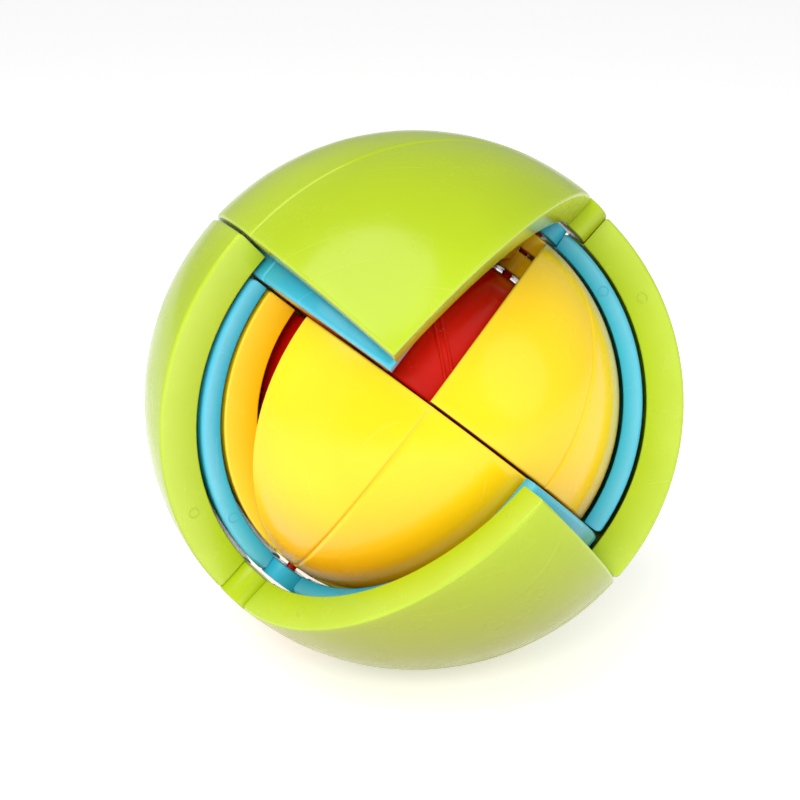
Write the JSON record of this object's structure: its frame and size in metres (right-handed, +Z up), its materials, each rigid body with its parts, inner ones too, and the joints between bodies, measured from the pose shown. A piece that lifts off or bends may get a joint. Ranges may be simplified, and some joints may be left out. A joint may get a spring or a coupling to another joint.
{
  "type": "ball puzzle",
  "caption": "Ball puzzle of nested glossy plastic shells, green, blue, yellow and red, each cut into twisting pinwheel halves with open windows.",
  "frame": {"origin": "centre of the ball", "axes": "+Z up as the ball is held, -Y towards the person holding it; the polar axes of the layers lean 42 to 47 degrees from +Z towards +X"},
  "size_m": [0.0836, 0.079, 0.0838],
  "materials": {
    "green_shell": "glossy lime green moulded plastic",
    "blue_shell": "glossy sky blue moulded plastic",
    "yellow_shell": "glossy warm yellow moulded plastic",
    "red_core": "glossy deep red moulded plastic"
  },
  "bodies": {
    "outer_lower": {"green_lower_blade_front": "green_shell", "green_lower_blade_back": "green_shell", "green_lower_pole_button": "green_shell"},
    "outer_upper": {"green_upper_blade_front": "green_shell", "green_upper_blade_back": "green_shell", "green_upper_pole_button": "green_shell"},
    "core": {"axle": "red_core", "axle_cap_upper": "blue_shell", "axle_cap_lower": "blue_shell", "red_core_lower": "red_core"},
    "core_upper": {"red_core_upper": "red_core"},
    "blue_lower": {"blue_lower_blade_front": "blue_shell", "blue_lower_blade_back": "blue_shell", "blue_lower_hub": "blue_shell"},
    "blue_upper": {"blue_upper_blade_front": "blue_shell", "blue_upper_blade_back": "blue_shell", "blue_upper_hub": "blue_shell"},
    "yellow_lower_main": {"yellow_lower_main_blade_front": "yellow_shell", "yellow_lower_main_blade_back": "yellow_shell", "yellow_lower_main_hub": "yellow_shell"},
    "yellow_lower_side": {"yellow_lower_side_blade_front": "yellow_shell", "yellow_lower_side_blade_back": "yellow_shell", "yellow_lower_side_hub": "yellow_shell"},
    "yellow_upper_main": {"yellow_upper_main_blade_front": "yellow_shell", "yellow_upper_main_blade_back": "yellow_shell", "yellow_upper_main_hub": "yellow_shell"},
    "yellow_upper_side": {"yellow_upper_side_blade_front": "yellow_shell", "yellow_upper_side_blade_back": "yellow_shell", "yellow_upper_side_hub": "yellow_shell"}
  },
  "joints": [
    {"name": "outer_upper_twist", "type": "hinge", "parent": "outer_lower", "child": "outer_upper", "pos_m": [0, 0, 0], "axis": [0.6698, 0.3053, 0.6769], "continuous": true},
    {"name": "inner_ball_turn", "type": "hinge", "parent": "outer_lower", "child": "core", "pos_m": [0, 0, 0], "axis": [0.5934, 0.3036, 0.7455], "continuous": true},
    {"name": "red_upper_twist", "type": "hinge", "parent": "core", "child": "core_upper", "pos_m": [0, 0, 0], "axis": [0.5934, 0.3036, 0.7455], "continuous": true},
    {"name": "blue_lower_twist", "type": "hinge", "parent": "core", "child": "blue_lower", "pos_m": [0, 0, 0], "axis": [0.5934, 0.3036, 0.7455], "continuous": true},
    {"name": "blue_upper_twist", "type": "hinge", "parent": "core", "child": "blue_upper", "pos_m": [0, 0, 0], "axis": [0.5934, 0.3036, 0.7455], "continuous": true},
    {"name": "yellow_lower_twist", "type": "hinge", "parent": "core", "child": "yellow_lower_main", "pos_m": [0, 0, 0], "axis": [0.5934, 0.3036, 0.7455], "continuous": true},
    {"name": "yellow_upper_twist", "type": "hinge", "parent": "core", "child": "yellow_upper_main", "pos_m": [0, 0, 0], "axis": [0.5934, 0.3036, 0.7455], "continuous": true},
    {"name": "yellow_lower_slack", "type": "hinge", "parent": "yellow_lower_main", "child": "yellow_lower_side", "pos_m": [0, 0, 0], "axis": [0.5934, 0.3036, 0.7455], "range_deg": [-5, 18]},
    {"name": "yellow_upper_slack", "type": "hinge", "parent": "yellow_upper_main", "child": "yellow_upper_side", "pos_m": [0, 0, 0], "axis": [0.5934, 0.3036, 0.7455], "range_deg": [-8, 15]}
  ]
}
